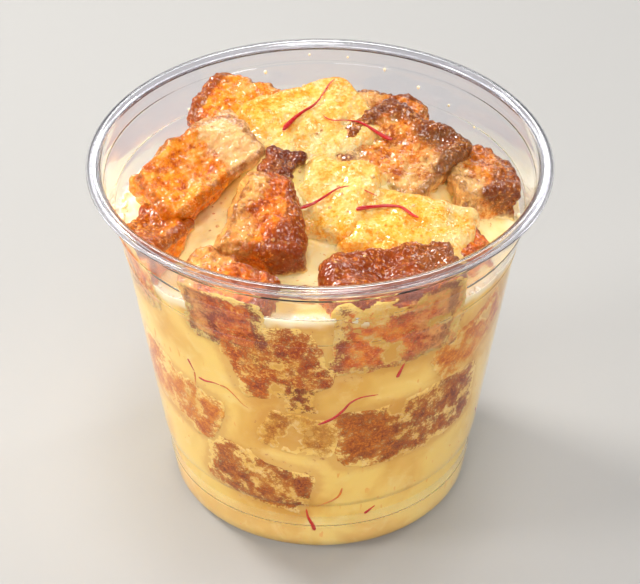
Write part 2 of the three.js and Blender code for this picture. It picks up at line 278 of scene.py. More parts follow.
def bread(s):
    """A torn cube of bread: lumps, crumb pores, crisp blistered crust, and where custard has soaked in."""
    n = (s["n"],) * 3 if s["heap"] else (54, 10, 50)
    if not s["heap"] and max(s["size"]) < 11:
        n = (28, 28, 28)
    p, u, quads = shape_block(s, n)
    kind = s["kind"]
    small = min(1.0, s["size"].min() / 12)
    crust = np.zeros(len(p))
    for f in s.get("crust", ("+z",)):
        if isinstance(f, str):
            crust = np.maximum(crust, smooth(0.55, 0.9, u[:, AXES[f[1]]] * (1 if f[0] == "+" else -1)))
        else:
            crust = np.maximum(crust, smooth(0.3, 0.85, u @ (np.array(f) / np.linalg.norm(f)) + 0.25 * perlin(p, 5, s["seed"] + 44)))
    crust *= np.clip(0.95 + 0.6 * perlin(p, 6, s["seed"] + 40), 0, 1)
    srt = np.sort(np.abs(u), axis=1)
    edge = smooth(0.66, 0.88, srt[:, 1])
    pa, pw = s["pale"]
    pale = smooth(-0.3, 0.9, u[:, AXES[pa[1]]] * (1 if pa[0] == "+" else -1) + 0.6 * perlin(p, 5, s["seed"] + 9)) * pw

    # lumps and torn edges, on the plain block's normals
    nn = normals(p, quads)
    face = smooth(0.86, 0.25, srt[:, 1])
    dish = s.get("dish", 0.3) * face * (0.45 + 0.55 * crust) if s["heap"] else 0
    lump = -dish + 1.1 * small * fbm(p, 9.0, 2, s["seed"]) + (0.35 if kind == "soaked" else 0.8) * small * fbm(p, 3.8, 3, s["seed"] + 5)
    if kind == "soaked":
        lump += 0.5 * fbm(p, 6.0, 2, s["seed"] + 71)
    p = p + nn * lump[:, None]
    nn = normals(p, quads)
    open_crumb = 1 - 0.7 * crust
    if kind == "soaked":
        open_crumb = open_crumb * 0.42
    warp = 0.7 * np.stack([perlin(p, 3, 1), perlin(p, 3, 2), perlin(p, 3, 3)], 1)
    big = smooth(0.46, 0.14, worley(p + warp, 3.3, s["seed"]))
    mid = smooth(0.5, 0.18, worley(p + 0.4 * warp, 1.8, s["seed"] + 2))
    fine = smooth(0.5, 0.2, worley(p, 1.05, s["seed"] + 4))
    gate = smooth(-0.1, 0.35, perlin(p, 6.5, s["seed"] + 31))
    depth = open_crumb * (0.85 * big * gate + 0.45 * mid * (0.4 + 0.6 * gate) + 0.12 * fine)
    blister = crust * (0.12 * smooth(0.5, 0.1, worley(p, 2.0, s["seed"] + 8)) + 0.22 * smooth(0.55, 0.1, worley(p, 1.0, s["seed"] + 12)))
    crisp = edge * (0.25 + 0.55 * np.abs(perlin(p, 1.7, s["seed"] + 50)) + 0.6 * np.abs(perlin(p, 2.9, s["seed"] + 52)))
    ridge = (0.25 if kind == "soaked" else 0.7) * crisp + 0.07 * perlin(p, 1.1, s["seed"] + 51)
    p = p + nn * (blister + ridge - depth * small)[:, None]
    w = p @ s["R"].T + s["c"]
    nw = nn @ s["R"].T

    # pressed flat against the wall: bread shows only where it stands proud of the custard, in a ragged outline
    r = np.hypot(w[:, 0], w[:, 1])
    reach = wall_in(w[:, 2])
    over = r > reach + 0.02
    flat = w * 1.0
    flat[over, 0] *= reach[over] / r[over]
    flat[over, 1] *= reach[over] / r[over]
    inside = np.full(len(p), 9.0)
    inside[over] = block_inside(s, flat[over])
    rag = inside + 2.1 * fbm(flat, 5.2, 2, 700 + s["seed"]) + 1.9 * fbm(flat, 1.9, 2, 720 + s["seed"])
    seep = s.get("seep", 0.12)
    bay = fbm(flat, 6.5, 3, 760 + s["seed"])
    rag = rag + 0.7 - np.where(inside < 9, 4.0 * smooth(0.36 - 0.4 * seep, 0.85 - 0.45 * seep, bay), 0)
    proud = 0.125 + 0.055 * np.tanh((rag + 0.25) / 0.7)
    lim = reach + proud
    w[over, 0] *= lim[over] / r[over]
    w[over, 1] *= lim[over] / r[over]
    w[:, 2] = np.minimum(w[:, 2], 78.6)
    pore = np.clip(depth / 1.1, 0, 1)
    return w, quads, dict(crust=crust, burn=edge, pore=pore, pale=pale, rag=np.where(over, rag, 9.0), wall=over.astype(float),
                          up=np.clip(nw[:, 2], 0, 1))


for s in pieces:
    s["v"], s["q"], s["a"] = bread(s)

# ------------------------------------------------------------------ height of the custard among the pieces
STEP = 0.5
ax = np.arange(-44, 44 + STEP, STEP)
GX, GY = np.meshgrid(ax, ax, indexing="ij")
heap_top = np.full(GX.shape, -1.0)
for s in pieces:
    if s["heap"]:
        i = np.round((s["v"][:, :2] + 44) / STEP).astype(int)
        np.maximum.at(heap_top, (i[:, 0], i[:, 1]), s["v"][:, 2])


def shifts(a, fn, k=1):
    out = a
    for dx in range(-k, k + 1):
        for dy in range(-k, k + 1):
            out = fn(out, np.roll(np.roll(a, dx, 0), dy, 1))
    return out


closed = shifts(shifts(heap_top, np.maximum), np.minimum)
heap_top = np.maximum(heap_top, closed)
level_grid = level_at(GX, GY)


def blur(a, sigma):
    k = np.arange(-int(3 * sigma / STEP), int(3 * sigma / STEP) + 1) * STEP
    w = np.exp(-0.5 * (k / sigma) ** 2)
    w /= w.sum()
    pad = len(k) // 2
    for axis in (0, 1):
        ap = np.pad(a, [(pad, pad) if i == axis else (0, 0) for i in (0, 1)], mode="edge")
        a = sum(w[i] * np.take(ap, np.arange(i, i + GX.shape[axis]), axis) for i in range(len(k)))
    return a


filled = blur(np.maximum(heap_top, level_grid - 1.5), 2.0) - 2.0
GR = np.hypot(GX, GY)
fill_w = smooth(27, 15, np.hypot(GX - 4, GY - 4))
flat = np.stack([GX.ravel(), GY.ravel(), np.zeros(GX.size)], 1)
top_grid = np.maximum(level_grid, level_grid + (filled - level_grid) * fill_w)
top_grid = blur(top_grid, 0.8)
top_grid += 0.35 * fbm(flat, 7, 2, 900).reshape(GX.shape) * smooth(42, 36, GR)
# custard clings to each piece it touches
near_top = np.full(GX.size, -9.0)
pts = np.stack([GX.ravel(), GY.ravel(), top_grid.ravel()], 1)
for s in pieces:
    if s["heap"]:
        near_top = np.maximum(near_top, block_inside(s, pts))
top_grid += 0.55 * np.exp(-np.maximum(-near_top, 0) / 1.1).reshape(GX.shape) * smooth(40, 37, GR)


def on_grid(g, x, y):
    fx, fy = np.clip((x + 44) / STEP, 0, g.shape[0] - 2), np.clip((y + 44) / STEP, 0, g.shape[1] - 2)
    i, j = fx.astype(int), fy.astype(int)
    a, b = fx - i, fy - j
    return (g[i, j] * (1 - a) * (1 - b) + g[i + 1, j] * a * (1 - b) + g[i, j + 1] * (1 - a) * b + g[i + 1, j + 1] * a * b)


surface_grid = np.maximum(top_grid, heap_top)


# ------------------------------------------------------------------ materials
def srgb(r, g, b):
    out = []
    for c in (r, g, b):
        c = c / 255
        out.append(c / 12.92 if c <= 0.04045 else ((c + 0.055) / 1.055) ** 2.4)
    return (*out, 1.0)


class Nodes:
    def __init__(self, name):
        self.mat = bpy.data.materials.new(name)
        self.mat.use_nodes = True
        self.t = self.mat.node_tree
        self.t.nodes.clear()
        self.out = self.t.nodes.new("ShaderNodeOutputMaterial")
        self.coord = self.t.nodes.new("ShaderNodeTexCoord").outputs["Object"]

    def node(self, kind, **values):
        n = self.t.nodes.new(kind)
        for k, v in values.items():
            setattr(n, k, v)
        return n

    def put(self, socket, value):
        if isinstance(value, bpy.types.NodeSocket):
            self.t.links.new(value, socket)
        else:
            socket.default_value = value

    def noise(self, size_mm, detail=3.0, rough=0.55, warp=0.0, seed=0.0):
        n = self.node("ShaderNodeTexNoise")
        m = self.node("ShaderNodeMapping")
        m.inputs["Location"].default_value = (seed * 0.0137, seed * 0.0071, seed * 0.0113)
        self.t.links.new(self.coord, m.inputs["Vector"])
        self.t.links.new(m.outputs[0], n.inputs["Vector"])
        n.inputs["Scale"].default_value = 1000.0 / size_mm
        n.inputs["Detail"].default_value = detail
        n.inputs["Roughness"].default_value = rough
        n.inputs["Distortion"].default_value = warp
        return n.outputs[0]

    def cells(self, size_mm, feature="F1", randomness=1.0):
        n = self.node("ShaderNodeTexVoronoi", feature=feature)
        self.t.links.new(self.coord, n.inputs["Vector"])
        n.inputs["Scale"].default_value = 1000.0 / size_mm
        n.inputs["Randomness"].default_value = randomness
        return n.outputs["Distance"]

    def attr(self, name):
        return self.node("ShaderNodeAttribute", attribute_name=name).outputs["Fac"]

    def math(self, op, a, b=0.0, c=None, clamp=False):
        n = self.node("ShaderNodeMath", operation=op, use_clamp=clamp)
        self.put(n.inputs[0], a)
        self.put(n.inputs[1], b)
        if c is not None:
            self.put(n.inputs[2], c)
        return n.outputs[0]

    def add(self, *xs):
        out = xs[0]
        for x in xs[1:]:
            out = self.math("ADD", out, x)
        return out

    def mul(self, a, b):
        return self.math("MULTIPLY", a, b)

    def remap(self, x, a, b, lo=0.0, hi=1.0, soft=True):
        n = self.node("ShaderNodeMapRange", interpolation_type="SMOOTHSTEP" if soft else "LINEAR", clamp=True)
        self.put(n.inputs["Value"], x)
        for k, v in (("From Min", a), ("From Max", b), ("To Min", lo), ("To Max", hi)):
            n.inputs[k].default_value = v
        return n.outputs["Result"]

    def mix(self, fac, a, b, blend="MIX"):
        n = self.node("ShaderNodeMix", data_type="RGBA", blend_type=blend)
        self.put(n.inputs[0], fac)
        self.put(n.inputs[6], a)
        self.put(n.inputs[7], b)
        return n.outputs[2]

    def bump(self, height, strength, distance_mm, normal=None):
        n = self.node("ShaderNodeBump")
        n.inputs["Strength"].default_value = strength
        n.inputs["Distance"].default_value = distance_mm * MM
        self.put(n.inputs["Height"], height)
        if normal is not None:
            self.put(n.inputs["Normal"], normal)
        return n.outputs[0]

    def principled(self, **values):
        n = self.node("ShaderNodeBsdfPrincipled")
        for k, v in values.items():
            self.put(n.inputs[k.replace("_", " ")], v)
        return n


PALETTE = {
    "amber": dict(light=srgb(254, 178, 56), mid=srgb(244, 140, 18), dark=srgb(198, 86, 6), crust=srgb(136, 50, 4), crumb=srgb(252, 202, 134)),
    "toast": dict(light=srgb(240, 156, 48), mid=srgb(212, 114, 16), dark=srgb(154, 68, 4), crust=srgb(104, 42, 2), crumb=srgb(250, 198, 122)),
    "dark": dict(light=srgb(246, 150, 28), mid=srgb(216, 100, 8), dark=srgb(156, 58, 3), crust=srgb(128, 48, 2), crumb=srgb(254, 186, 100)),
    "burnt": dict(light=srgb(200, 104, 24), mid=srgb(156, 66, 8), dark=srgb(118, 46, 2), crust=srgb(92, 32, 1), crumb=srgb(224, 140, 60)),
    "ochre": dict(light=srgb(252, 188, 74), mid=srgb(238, 152, 34), dark=srgb(206, 108, 12), crust=srgb(160, 74, 8), crumb=srgb(250, 204, 116)),
    "crumb": dict(light=srgb(236, 188, 100), mid=srgb(220, 158, 60), dark=srgb(180, 104, 20), crust=srgb(136, 66, 8), crumb=srgb(242, 210, 136)),
    "soaked": dict(light=srgb(252, 204, 104), mid=srgb(249, 184, 68), dark=srgb(240, 150, 32), crust=srgb(206, 98, 12), crumb=srgb(253, 226, 158)),
}


# painted shade: a darker, more saturated copy of a colour, for the pieces against the wall
def shade_for_wall(c, f):
    return (c[0] * f, c[1] * f * 0.88, c[2] * f * 0.5, 1.0)


def custard_colour(k):
    """The custard seen through the wall: one pattern for the custard and for what it has run over."""
    n_big = k.noise(18, 3, 0.55, 0.5)
    n_mid = k.noise(4.5, 4, 0.6, 0.5, seed=5)
    base = k.mix(k.remap(n_big, 0.38, 0.6), srgb(234, 186, 82), srgb(252, 218, 122))
    base = k.mix(k.mul(k.remap(n_mid, 0.5, 0.74), 0.5), base, srgb(254, 232, 156))
    return base, n_big, n_mid


def bread_material(kind, heap, seep):
    c = PALETTE[kind]
    # painted shade: pieces against the wall take darker, more saturated copies of their kind's colours
    if not heap:
        c = {n: shade_for_wall(v, 0.68 if kind in ("dark", "burnt", "toast") else 0.86) for n, v in c.items()}
        if kind != "crumb":
            c["crumb"] = c["light"]
    k = Nodes(f"bread_{kind}_{'heap' if heap else 'wall'}_{int(seep * 100)}")
    n_big = k.noise(6.5, 3, 0.6, 0.4)
    n_mid = k.noise(2.2, 4, 0.62, 0.5, seed=3)
    n_fine = k.noise(0.7, 3, 0.65, 0.3, seed=7)
    pore, crust, burn = k.attr("pore"), k.attr("crust"), k.attr("burn")
    n_grain = k.noise(0.42, 2, 0.6, 0.2, seed=15)
    if heap and kind != "soaked":
        tone = k.add(k.mul(n_big, 0.6), k.mul(n_mid, 0.7), k.mul(n_fine, 0.4), k.mul(n_grain, 0.2), -0.43)
    else:
        tone = k.add(k.mul(n_big, 0.5), k.mul(n_mid, 0.7), k.mul(n_fine, 0.7), k.mul(n_grain, 0.4), -0.65)
    base = k.mix(k.remap(tone, 0.36, 0.52), c["dark"], c["mid"])
    base = k.mix(k.remap(tone, 0.5, 0.68), base, c["light"])
    # torn crumb shows paler where little syrup reached it
    pale = k.remap(k.add(k.attr("pale"), k.mul(n_mid, 0.9), k.mul(n_fine, 0.45)), 0.82, 1.25)
    torn = c["crumb"]
    if not heap:
        torn = k.mix(k.remap(k.add(k.mul(n_fine, 0.7), k.mul(n_grain, 0.5)), 0.5, 0.74), c["mid"], shade_for_wall(PALETTE[kind]["light"], 0.95))
    base = k.mix(k.mul(pale, 0.85 if heap else 0.6), base, torn)
    # painted shade: each pore is coloured darker the deeper it is; soaked bread also gets brown specks of crust
    if kind == "soaked":
        base = k.mix(k.mul(k.remap(pore, 0.15, 0.8), 0.5), base, c["dark"])
        speck = k.remap(k.cells(2.6), 0.16, 0.07)
        base = k.mix(k.mul(speck, k.remap(n_big, 0.5, 0.66)), base, c["crust"])
    else:
        base = k.mix(k.mul(k.remap(pore, 0.1, 0.75), 0.55), base, c["dark"])
    # crust and scorched edges
    scorch = k.remap(k.add(k.mul(crust, 0.7 if heap else 0.3), k.mul(burn, 0.5 if heap else 0.15), k.mul(n_mid, 0.75), k.mul(n_fine, 0.45)), 0.88, 1.26)
    base = k.mix(k.mul(scorch, 0.85 if kind != "soaked" else 0.2), base, c["crust"])
    hot = k.remap(k.add(k.mul(crust, 0.1), k.mul(n_fine, 1.0), k.mul(n_big, 0.5)), 0.86, 0.98)
    base = k.mix(k.mul(hot, 0.55), base, c["mid"])
    # pale grains of crumb standing in the glaze, partly painted highlight: the pale specks also stand in for the
    # glaze's glints
    grain_and_glint_specks = k.mul(k.remap(k.add(k.mul(n_grain, 0.9), k.mul(n_fine, 0.8), k.mul(n_big, 0.35)), 1.14, 1.22), 0.4 if heap else 0.3)
    base = k.mix(grain_and_glint_specks, base, c["crumb"])
    # custard lying on it and in its pores
    cream = k.mix(k.remap(n_big, 0.4, 0.62), srgb(246, 208, 124), srgb(252, 228, 166))
    soak = k.attr("soak")
    n_edge = k.add(k.mul(n_mid, 1.0), k.mul(n_fine, 0.55))
    lap = k.remap(k.add(soak, k.mul(n_edge, 0.9)), 1.12, 1.34)
    wet = k.mul(k.remap(k.add(soak, k.mul(n_edge, 0.9)), 0.8, 1.2), 0.35)
    base = k.mix(wet, base, cream)
    base = k.mix(lap, base, cream)
    # against the wall the custard runs in raggedly from the outline
    custard, _, _ = custard_colour(k)
    wall = k.attr("wall")
    ragged = k.add(k.attr("rag"), k.mul(n_mid, 1.6), k.mul(n_fine, 6.5), k.mul(n_grain, 4.5), -6.3)
    thin = k.mul(k.remap(ragged, 3.0, 1.2), k.mul(wall, 0.4))
    base = k.mix(thin, base, custard)
    froth = k.mul(k.remap(ragged, 1.9, 1.1), k.remap(k.add(k.mul(n_grain, 0.6), k.mul(n_mid, 0.6)), 0.58, 0.7))
    vein = k.remap(k.add(k.mul(n_mid, 0.75), k.mul(n_fine, 0.8), k.mul(n_big, 0.3)), 1.08 - 0.25 * seep, 1.24 - 0.25 * seep)
    base = k.mix(k.mul(k.mul(vein, wall), 0.8), base, custard)
    base = k.mix(k.mul(k.remap(ragged, 1.7, 0.7), wall), base, k.mix(k.mul(froth, 0.35), custard, srgb(252, 234, 190)))
    rough = k.remap(k.add(n_mid, k.mul(n_fine, 0.4)), 0.5, 0.95, 0.22, 0.5)
    height = k.add(k.mul(n_fine, 1.0), k.mul(n_grain, 0.4), k.mul(k.cells(0.9), 0.6), k.mul(n_mid, 0.6))
    height = k.mul(height, k.math("MULTIPLY_ADD", pale, 0.9, 1.0))
    p = k.principled(Base_Color=base, Roughness=rough, Normal=k.bump(height, 0.7 if heap else 0.25, 0.45 if heap else 0.4))
    if heap:
        glaze = k.add(k.mul(k.noise(1.0, 1, 0.5, 0.3, seed=21), 0.5), k.mul(k.noise(2.3, 1, 0.5, 0.2, seed=23), 1.0))
        k.put(p.inputs["Coat Normal"], k.bump(glaze, 0.85, 0.4 if kind == "soaked" else 0.5))
    p.inputs["Coat Weight"].default_value = (0.75 if kind == "soaked" else 1.0) if heap else 0.0
    p.inputs["Coat Roughness"].default_value = 0.05
    p.inputs["Coat IOR"].default_value = 1.46
    p.inputs["IOR"].default_value = 1.4
    p.inputs["Specular IOR Level"].default_value = 0.12 if heap else 0.0
    p.inputs["Subsurface Weight"].default_value = 0.18 if heap else 0.0
    p.inputs["Subsurface Radius"].default_value = (1.0, 0.4, 0.12)
    p.inputs["Subsurface Scale"].default_value = 0.0012
    k.t.links.new(p.outputs[0], k.out.inputs[0])
    return k.mat


def custard_material():
    k = Nodes("custard_set")
    base, n_big, n_mid = custard_colour(k)
    n_fine = k.noise(1.1, 3, 0.6, 0, seed=9)
    top = k.attr("top")
    # painted light: the custard's top surface is coloured paler and brighter than the sides seen through the wall
    top_painted_lighter = k.mix(k.remap(k.add(n_big, k.mul(n_mid, 0.5)), 0.6, 0.9), srgb(252, 214, 122), srgb(255, 236, 178))
    base = k.mix(top, base, top_painted_lighter)
    # syrup drawn out of the bread stains the custard round it
    bleed = k.attr("bleed")
    stain = k.remap(k.add(bleed, k.mul(n_mid, 0.7), k.mul(n_fine, 0.35)), 0.8, 1.35)
    base = k.mix(k.mul(stain, k.math("MULTIPLY_ADD", top, -0.35, 0.42)), base, srgb(214, 144, 44))
    crumbs = k.mul(k.remap(k.add(k.mul(n_fine, 0.9), k.mul(n_mid, 0.5)), 0.86, 0.94), k.remap(bleed, 0.15, 0.7))
    base = k.mix(k.mul(crumbs, 0.75), base, srgb(186, 98, 24))
    # saffron-stained flecks
    fleck = k.mul(k.remap(k.cells(3.1), 0.10, 0.05), k.remap(n_mid, 0.5, 0.58))
    base = k.mix(k.mul(fleck, 0.8), base, srgb(236, 138, 14))
    streak = k.node("ShaderNodeTexNoise")
    m = k.node("ShaderNodeMapping")
    m.inputs["Scale"].default_value = (1.0, 1.0, 0.28)
    m.inputs["Rotation"].default_value = (0.5, 0.7, 0.2)
    k.t.links.new(k.coord, m.inputs["Vector"])
    k.t.links.new(m.outputs[0], streak.inputs["Vector"])
    streak.inputs["Scale"].default_value = 900.0
    streak.inputs["Detail"].default_value = 1.0
    fine = k.mul(k.remap(streak.outputs[0], 0.69, 0.74), k.remap(n_big, 0.46, 0.6))
    base = k.mix(k.mul(fine, 0.6), base, srgb(238, 152, 30))
    base = k.mix(k.attr("froth"), base, srgb(253, 242, 214))
    # paler skin over the foot
    base = k.mix(k.mul(k.attr("foot"), 0.2), base, srgb(244, 224, 178))
    rough = k.remap(n_mid, 0.35, 0.7, 0.3, 0.45)
    height = k.add(k.mul(n_mid, 0.8), k.mul(n_fine, 0.4))
    p = k.principled(Base_Color=base, Roughness=rough, Normal=k.bump(height, 0.22, 0.3))
    k.put(p.inputs["Coat Normal"], k.bump(k.mul(k.noise(2.2, 3, 0.55, 0.4, seed=31), top), 0.8, 0.7))
    p.inputs["Coat Weight"].default_value = 0.4
    p.inputs["Coat Roughness"].default_value = 0.08
    p.inputs["Specular IOR Level"].default_value = 0.15
    p.inputs["IOR"].default_value = 1.4
    p.inputs["Subsurface Weight"].default_value = 0.3
    p.inputs["Subsurface Radius"].default_value = (1.0, 0.55, 0.2)
    p.inputs["Subsurface Scale"].default_value = 0.0025
    k.t.links.new(p.outputs[0], k.out.inputs[0])
    return k.mat


def cup_material():
    k = Nodes("clear_cup")
    p = k.principled(Base_Color=(0.88, 0.88, 0.925, 1), Roughness=0.06)
    p.inputs["IOR"].default_value = 1.5
    p.inputs["Specular IOR Level"].default_value = 0.35
    p.inputs["Transmission Weight"].default_value = 1.0
    tr = k.node("ShaderNodeBsdfTransparent")
    tr.inputs[0].default_value = (0.96, 0.965, 0.97, 1)
    lp = k.node("ShaderNodeLightPath")
    mx = k.node("ShaderNodeMixShader")
    k.t.links.new(lp.outputs["Is Shadow Ray"], mx.inputs[0])
    k.t.links.new(p.outputs[0], mx.inputs[1])
    k.t.links.new(tr.outputs[0], mx.inputs[2])
    k.t.links.new(mx.outputs[0], k.out.inputs[0])
    return k.mat


def saffron_material(name, a, b):
    k = Nodes(name)
    along = k.attr("along")
    n = k.noise(0.9, 3, 0.6, 0)
    base = k.mix(k.remap(k.add(along, k.mul(n, 0.3)), 0.55, 1.2), a, b)
    base = k.mix(k.mul(k.remap(n, 0.4, 0.65), 0.25), base, srgb(120, 6, 6))
    p = k.principled(Base_Color=base, Roughness=k.remap(n, 0.4, 0.6, 0.26, 0.42), Normal=k.bump(k.noise(0.35, 2, 0.5), 0.4, 0.1))
    p.inputs["Coat Weight"].default_value = 0.3
    p.inputs["Coat Roughness"].default_value = 0.2
    k.t.links.new(p.outputs[0], k.out.inputs[0])
    return k.mat


def froth_material():
    k = Nodes("custard_froth")
    n = k.noise(1.2, 3, 0.6)
    base = k.mix(k.remap(n, 0.4, 0.62), srgb(252, 240, 214), srgb(247, 224, 170))
    p = k.principled(Base_Color=base, Roughness=k.remap(n, 0.4, 0.6, 0.18, 0.3), Normal=k.bump(n, 0.2, 0.1))
    p.inputs["Coat Weight"].default_value = 0.5
    p.inputs["Coat Roughness"].default_value = 0.08
    k.t.links.new(p.outputs[0], k.out.inputs[0])
    return k.mat


# ------------------------------------------------------------------ bread into the scene
_mats = {}
for s in pieces:
    v = s["v"]
    above = v[:, 2] - on_grid(top_grid, v[:, 0], v[:, 1])
    cover = {"soaked": 2.2, "toast": 0.9, "crumb": 1.2}.get(s["kind"], 0.7)
    s["a"]["soak"] = np.clip(0.75 * np.exp(-np.maximum(above, 0) / cover) + 0.16 * s["a"]["pore"], 0, 1) * (1 - s["a"]["wall"])
    seep = s.get("seep", 0.12)
    key = (s["kind"], s["heap"], seep)
    if key not in _mats:
        _mats[key] = bread_material(*key)
    ob = build("bread_" + s["name"] + "_torn", v, quads=s["q"], attrs=s["a"])
    ob.data.materials.append(_mats[key])
    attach(ob, "root")
    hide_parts("bread_" + s["name"])

# ------------------------------------------------------------------ custard
AZ = 288
ang = np.arange(AZ) / AZ * 2 * np.pi
cx, cy = np.sin(ang), -np.cos(ang)
ring = np.stack([cx * 38, cy * 38, np.zeros(AZ)], 1)
jag = 0.55 * np.abs(fbm(ring, 2.6, 3, 510)) + 0.35 * fbm(ring, 9, 2, 511)
contact = on_grid(top_grid, cx * 37.5, cy * 37.5) + 0.55 + jag
rows, tops, foots = [], [], []
INSET = 0.10        # how far the custard reaches into the wall's sheet
base_pts = [(0.001, 2.0), (12, 1.93), (20.5, 1.5), (23.9, 0.42), (27.4, 0.42), (28.4, 0.52), (29.7, 0.8), (30.35, 1.35), (30.8, 2.1), (30.98, 3.0)]
for r, z in base_pts[1:]:
    rows.append(np.stack([cx * r, cy * r, np.full(AZ, z)], 1))
    tops.append(0.0)
    foots.append(1.0)
levels = np.concatenate([np.linspace(3.6, 12.9, 12), [13.2, 13.6, 14.0, 14.5, 15.0], np.linspace(16, 58, 52)])
for z in levels:
    rr = wall_in(z) + INSET
    rows.append(np.stack([cx * rr, cy * rr, np.full(AZ, z)], 1))
    tops.append(0.0)
    foots.append(float(smooth(9.5, 6.0, np.array([z]))[0]))
for t in np.linspace(0.08, 1, 16):
    z = 58 + (contact - 58) * t
    rr = wall_in(z) + INSET
    rows.append(np.stack([cx * rr, cy * rr, z], 1))
    tops.append(float(smooth(0.75, 1.0, np.array([t]))[0]))
    foots.append(0.0)
edge_r = wall_in(contact) + INSET
for k, r in enumerate(np.concatenate([[0.15, 0.4, 0.75, 1.2], np.linspace(1.7, 37.6, 68)])):
    rr = edge_r - r if r < 2 else (edge_r - 1.7) * (1 - (r - 1.7) / 37.0)
    z = on_grid(top_grid, cx * rr, cy * rr)
    lip = (contact - z) * np.exp(-((r / 0.7) ** 1.5)) if r < 3 else 0
    rows.append(np.stack([cx * rr, cy * rr, z + lip], 1))
    tops.append(1.0)
    foots.append(0.0)
V = np.concatenate(rows)
nrow = len(rows)
idx = np.arange(nrow * AZ).reshape(nrow, AZ)
nxt = np.roll(idx, -1, axis=1)
quads = np.stack([idx[:-1], nxt[:-1], nxt[1:], idx[1:]], -1).reshape(-1, 4)
low, high = len(V), len(V) + 1
V = np.concatenate([V, [[0, 0, 2.0]], [[0, 0, float(on_grid(top_grid, np.zeros(1), np.zeros(1))[0])]]])
tris = np.concatenate([np.stack([np.full(AZ, low), nxt[0], idx[0]], 1), np.stack([np.full(AZ, high), idx[-1], nxt[-1]], 1)])
top_a = np.concatenate([np.repeat(tops, AZ), [0, 1]])
foot_a = np.concatenate([np.repeat(foots, AZ), [1, 0]])
near = np.full(len(V), -9.0)
for s in pieces:
    near = np.maximum(near, block_inside(s, V))
bleed_a = np.exp(-np.maximum(-near, 0) / 2.0)
rv = np.hypot(V[:, 0], V[:, 1])
froth_a = smooth(4.2 + 2.4 * perlin(V, 5.5, 333), 0.4, wall_in(V[:, 2]) - rv) * smooth(3.2, 0.4, np.interp(np.arctan2(V[:, 0], -V[:, 1]) % (2 * np.pi), ang, contact) - V[:, 2] + 1.2 * perlin(V, 2.5, 334))
small_bumps = 0.10 * fbm(V, 1.6, 2, 77) * top_a * smooth(38, 34, rv)
V[:, 2] += small_bumps
custard = build("custard_set", V, quads=quads, tris=tris, attrs=dict(top=top_a, foot=foot_a, bleed=bleed_a, froth=froth_a * 0.85))
custard.data.materials.append(custard_material())
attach(custard, "root")
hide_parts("custard")


# ------------------------------------------------------------------ cup: one thin sheet, curled over at the rim
def sheet_path():
    p = [(0, 1.65), (6, 1.64), (12, 1.6), (18, 1.45), (20.5, 1.3), (23.2, 0.42), (24.1, 0.25), (27.2, 0.25)]
    for a in range(-80, 1, 10):
        p.append((28.4 + 2.75 * math.cos(math.radians(a)), 3 + 2.75 * math.sin(math.radians(a))))
    p += [(31.55, 6.9), (31.62, 7.25), (31.86, 7.5), (31.72, 7.8), (31.78, 8.4), (32.05, 13.1), (32.2, 13.5), (32.8, 14.1), (32.98, 14.6), (33.05, 15.2)]

    def bead(ring, below, above):
        r, z = ring[0] - WALL / 2, ring[1]
        return [(r - 0.10, z - 0.55), (r + 0.02, z - 0.3), (r + 0.22, z), (r + 0.06, z + 0.3), (r + 0.10, z + 0.6)]
    p += bead(RING_C, 0, 0) + bead(RING_B, 0, 0) + bead(RING_A, 0, 0)
    # the curl: up past the mouth, over, out and back under
    p += [(43.25, 74.6), (43.31, 75.6)]
    for a in range(180, -121, -15):
        c, s = math.cos(math.radians(a)), math.sin(math.radians(a))
        p.append((44.54 + (1.21 if a > 0 else 1.19) * c, 75.95 + (1.0 if a > 0 else 0.62) * s))
    return np.array(p)


def dense(p, coarse=2.4, fine=0.18):
    """Rounds the corners of a path and keeps points close together only where it bends."""
    seg = np.hypot(*np.diff(p, axis=0).T)
    s = np.concatenate([[0], np.cumsum(seg)])
    t = np.arange(0, s[-1], 0.04)
    x, z = np.interp(t, s, p[:, 0]), np.interp(t, s, p[:, 1])
    k = np.exp(-0.5 * (np.arange(-12, 13) * 0.04 / 0.13) ** 2)
    k /= k.sum()
    xs = np.convolve(np.pad(x, 12, mode="reflect", reflect_type="odd"), k, "valid")
    zs = np.convolve(np.pad(z, 12, mode="reflect", reflect_type="odd"), k, "valid")
    d = np.unwrap(np.arctan2(np.gradient(zs), np.gradient(xs)))
    bend = np.abs(np.gradient(d, t))
    want = np.clip(0.16 / np.maximum(np.convolve(bend, np.ones(9) / 9, "same"), 1e-3), fine, coarse)
    keep, last = [0], 0.0
    for i in range(1, len(t)):
        if t[i] - last >= want[i]:
            keep.append(i)
            last = t[i]
    if keep[-1] != len(t) - 1:
        keep.append(len(t) - 1)
    return np.stack([xs[keep], zs[keep]], 1), np.stack([-np.sin(d[keep]), np.cos(d[keep])], 1)


path, nrm = dense(sheet_path())
path[0, 0] = 0
nrm[0] = (0, 1)
outer, inner = path - nrm * WALL / 2, path + nrm * WALL / 2
end_mid = path[-1] + np.array([-nrm[-1][1], nrm[-1][0]]) * -WALL * 0.35
profile = np.concatenate([outer, [end_mid], inner[::-1]])
profile[:, 0] = np.clip(profile[:, 0], 0, RIM_R)
profile[:, 1] = np.clip(profile[:, 1], 0, CUP_H)
SEG = 192
ca = np.arange(SEG) / SEG * 2 * np.pi
body = profile[1:-1]
V = np.stack([np.outer(body[:, 0], np.sin(ca)), -np.outer(body[:, 0], np.cos(ca)), np.repeat(body[:, 1][:, None], SEG, 1)], -1).reshape(-1, 3)
idx = np.arange(len(body) * SEG).reshape(len(body), SEG)
nxt = np.roll(idx, -1, axis=1)
quads = np.stack([idx[:-1], nxt[:-1], nxt[1:], idx[1:]], -1).reshape(-1, 4)
lo, hi = len(V), len(V) + 1
V = np.concatenate([V, [[0, 0, profile[0, 1]]], [[0, 0, profile[-1, 1]]]])
